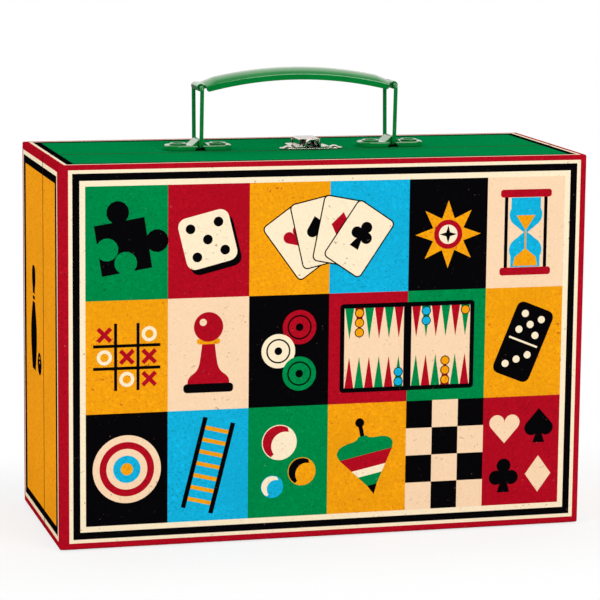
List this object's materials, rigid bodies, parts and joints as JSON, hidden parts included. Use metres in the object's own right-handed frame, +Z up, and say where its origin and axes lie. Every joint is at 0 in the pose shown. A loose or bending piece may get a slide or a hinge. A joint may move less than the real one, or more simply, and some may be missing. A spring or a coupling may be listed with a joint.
{
  "type": "games compendium box",
  "caption": "Printed paperboard suitcase for a set of board games, with a folding metal handle, a snap lock and a fitted insert holding boards, cards, tiles, dice and pieces.",
  "frame": {"origin": "bottom centre of the bounding box, on the surface that the standing case rests on", "axes": "+Z up, -Y towards the picture side (the lid), +X to the right when facing the picture side"},
  "size_m": [0.3, 0.12, 0.258],
  "materials": {
    "greyboard": "matte",
    "printed_wrap": "satin printed paper",
    "lining_paper": "matte",
    "spine_cloth": "woven book cloth",
    "green_enamel": "gloss enamel",
    "nickel": "bright nickel plate",
    "spring_steel": "satin",
    "steel": "satin",
    "insert_plastic": "vacuum-formed, satin",
    "board_print": "satin printed board",
    "book_paper": "matte",
    "card_print": "gloss printed card",
    "card_print_blue": "gloss printed card",
    "tile_print": "satin printed board",
    "light_wood": "waxed",
    "dark_wood": "stained and waxed",
    "red_wood": "lacquered",
    "blue_wood": "lacquered",
    "yellow_wood": "lacquered",
    "green_wood": "lacquered",
    "dice_plastic": "gloss"
  },
  "bodies": {
    "base": {"base_board": "greyboard", "base_wrap": "printed_wrap", "base_lining": "lining_paper", "base_cloth": "spine_cloth", "neck": "lining_paper", "bracket_left": "green_enamel", "bracket_right": "green_enamel", "bracket_eyelets": "green_enamel", "eyelet_washers": "steel", "latch_plate": "nickel", "latch_rivets": "nickel", "latch_pin": "nickel", "latch_spring": "spring_steel", "spring_rivet": "nickel", "insert_tray": "insert_plastic", "chess_board": "board_print", "ludo_board": "board_print", "rule_book": "book_paper", "playing_cards": "card_print", "family_cards": "card_print_blue", "memory_tiles": "tile_print", "draughts_light": "light_wood", "draughts_dark": "dark_wood", "dice": "dice_plastic", "pawns_red": "red_wood", "pawns_blue": "blue_wood", "pawns_yellow": "yellow_wood", "pawns_green": "green_wood"},
    "lid": {"lid_board": "greyboard", "lid_wrap": "printed_wrap", "lid_lining": "lining_paper", "lid_cloth": "spine_cloth", "striker": "nickel", "striker_rivets": "steel"},
    "left_bail": {"bail_left": "green_enamel"},
    "right_bail": {"bail_right": "green_enamel"},
    "handle_grip": {"grip": "green_enamel"},
    "lock_lever": {"latch_lever": "nickel"}
  },
  "joints": [
    {"name": "lid_hinge", "type": "hinge", "parent": "base", "child": "lid", "pos_m": [0, -0.01, 0], "axis": [1, 0, 0], "range_deg": [0, 175], "deforming": ["latch_spring"]},
    {"name": "handle_fold", "type": "hinge", "parent": "base", "child": "left_bail", "pos_m": [-0.0598, 0.002, 0.2146], "axis": [0, 1, 0], "range_deg": [-75, 80]},
    {"name": "right_bail_fold", "type": "hinge", "parent": "base", "child": "right_bail", "pos_m": [0.0528, 0.002, 0.2146], "axis": [0, 1, 0], "range_deg": [-75, 80]},
    {"name": "grip_swing", "type": "hinge", "parent": "left_bail", "child": "handle_grip", "pos_m": [-0.0598, 0.002, 0.2476], "axis": [0, 1, 0], "range_deg": [-80, 75]},
    {"name": "lever_lift", "type": "hinge", "parent": "base", "child": "lock_lever", "pos_m": [0.0045, 0.0141, 0.2148], "axis": [-1, 0, 0], "range_deg": [0, 12], "stiffness_Nm_per_rad": 0.05, "springref_deg": -11.46, "deforming": ["latch_spring"]}
  ],
  "couplings": [
    {"joint": "right_bail_fold", "follows": "handle_fold", "ratio": 1},
    {"joint": "grip_swing", "follows": "handle_fold", "ratio": -1}
  ]
}
